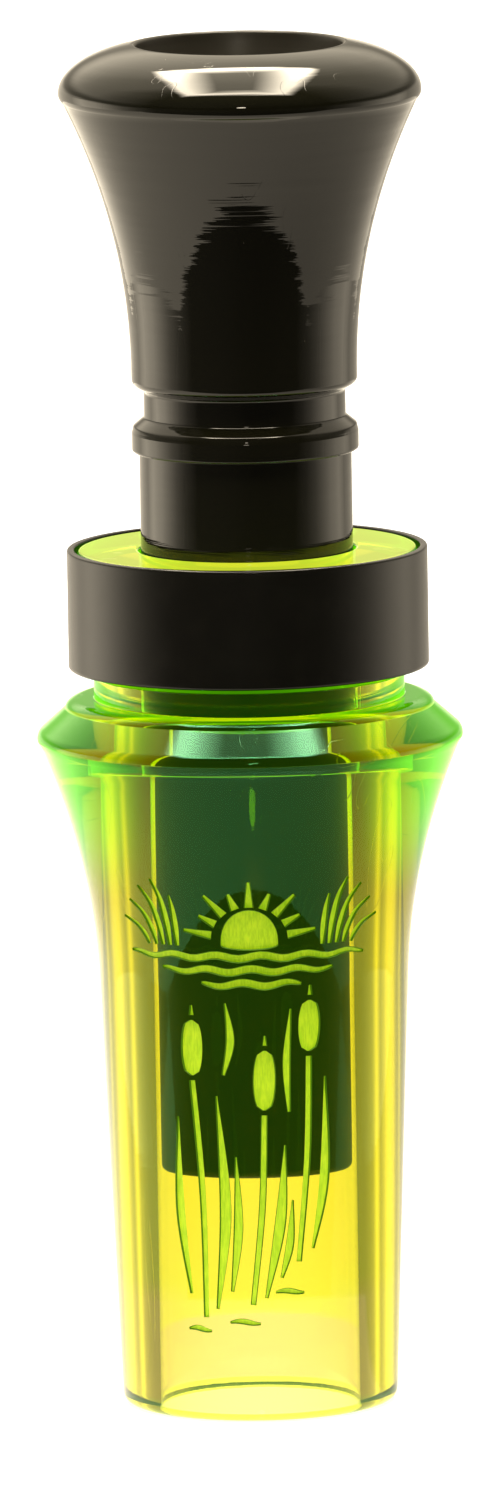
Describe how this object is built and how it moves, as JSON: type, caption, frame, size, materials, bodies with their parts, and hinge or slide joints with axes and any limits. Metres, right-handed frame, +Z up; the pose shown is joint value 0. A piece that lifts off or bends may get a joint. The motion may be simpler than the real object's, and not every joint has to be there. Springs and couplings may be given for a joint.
{
  "type": "duck call",
  "caption": "Turned duck call: a clear flared barrel with a pressed band, and a black horn-shaped insert that plugs into it and carries reeds on a tone board.",
  "frame": {"origin": "centre of the mouthpiece's flat end, which is the face that the call stands on", "axes": "+Z up the call's axis from the mouthpiece to the horn; the reeds lie on the +Y side of the tone board, and its round back faces -Y"},
  "size_m": [0.038, 0.038, 0.1221],
  "materials": {
    "barrel": "clear fluorescent chartreuse, polished",
    "band": "black anodised, satin",
    "stopper": "black acrylic, polished, with fine turning marks",
    "o_ring": "plain",
    "tone_board": "moulded black",
    "reed": "translucent film",
    "wedge": "cork"
  },
  "bodies": {
    "barrel": {"barrel": "barrel", "band": "band"},
    "seal": {"o_ring": "o_ring"},
    "insert": {"stopper": "stopper", "tone_board": "tone_board"},
    "lower_reed": {"lower_reed": "reed"},
    "upper_reed": {"upper_reed": "reed"},
    "reed_wedge": {"reed_wedge": "wedge"}
  },
  "joints": [
    {"name": "insert_slide", "type": "slide", "parent": "barrel", "child": "seal", "axis": [0, 0, 1], "range_m": [0, 0.058]},
    {"name": "insert_twist", "type": "hinge", "parent": "seal", "child": "insert", "pos_m": [0, 0, 0], "axis": [0, 0, 1], "continuous": true},
    {"name": "lower_reed_flex", "type": "hinge", "parent": "insert", "child": "lower_reed", "pos_m": [0, -0.0003, 0.062], "axis": [-1, 0, 0], "range_deg": [-0.8, 1.6], "stiffness_Nm_per_rad": 0.02},
    {"name": "upper_reed_flex", "type": "hinge", "parent": "insert", "child": "upper_reed", "pos_m": [0, -0.0003, 0.062], "axis": [-1, 0, 0], "range_deg": [-0.8, 1.6], "stiffness_Nm_per_rad": 0.02},
    {"name": "wedge_slide", "type": "slide", "parent": "insert", "child": "reed_wedge", "axis": [0, 0, -1], "range_m": [0, 0.013]}
  ],
  "couplings": [
    {"joint": "upper_reed_flex", "follows": "lower_reed_flex", "ratio": 1}
  ]
}
